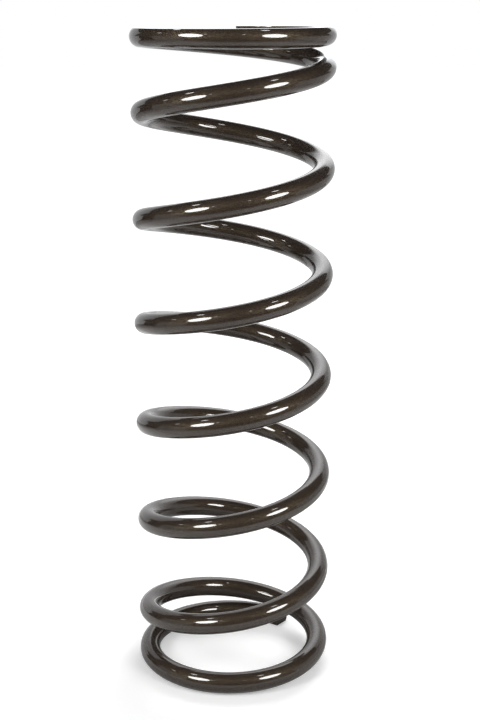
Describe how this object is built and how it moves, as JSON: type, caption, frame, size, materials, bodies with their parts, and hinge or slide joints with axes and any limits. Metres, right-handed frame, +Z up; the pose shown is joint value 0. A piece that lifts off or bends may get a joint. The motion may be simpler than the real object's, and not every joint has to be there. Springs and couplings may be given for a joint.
{
  "type": "helical spring",
  "caption": "Helical compression spring of round wire, with closed and ground ends and a dark bronze metallic coat.",
  "frame": {"origin": "on the coil's axis, in the plane of the ground bottom end", "axes": "+Z up along the coil's axis, -Y towards the camera of the picture, +X to its right"},
  "size_m": [0.076, 0.076, 0.25],
  "materials": {
    "powder_coat": "glossy dark olive-bronze metallic powder coat on spring steel"
  },
  "bodies": {
    "root": {"coil_spring": "powder_coat"}
  },
  "joints": []
}
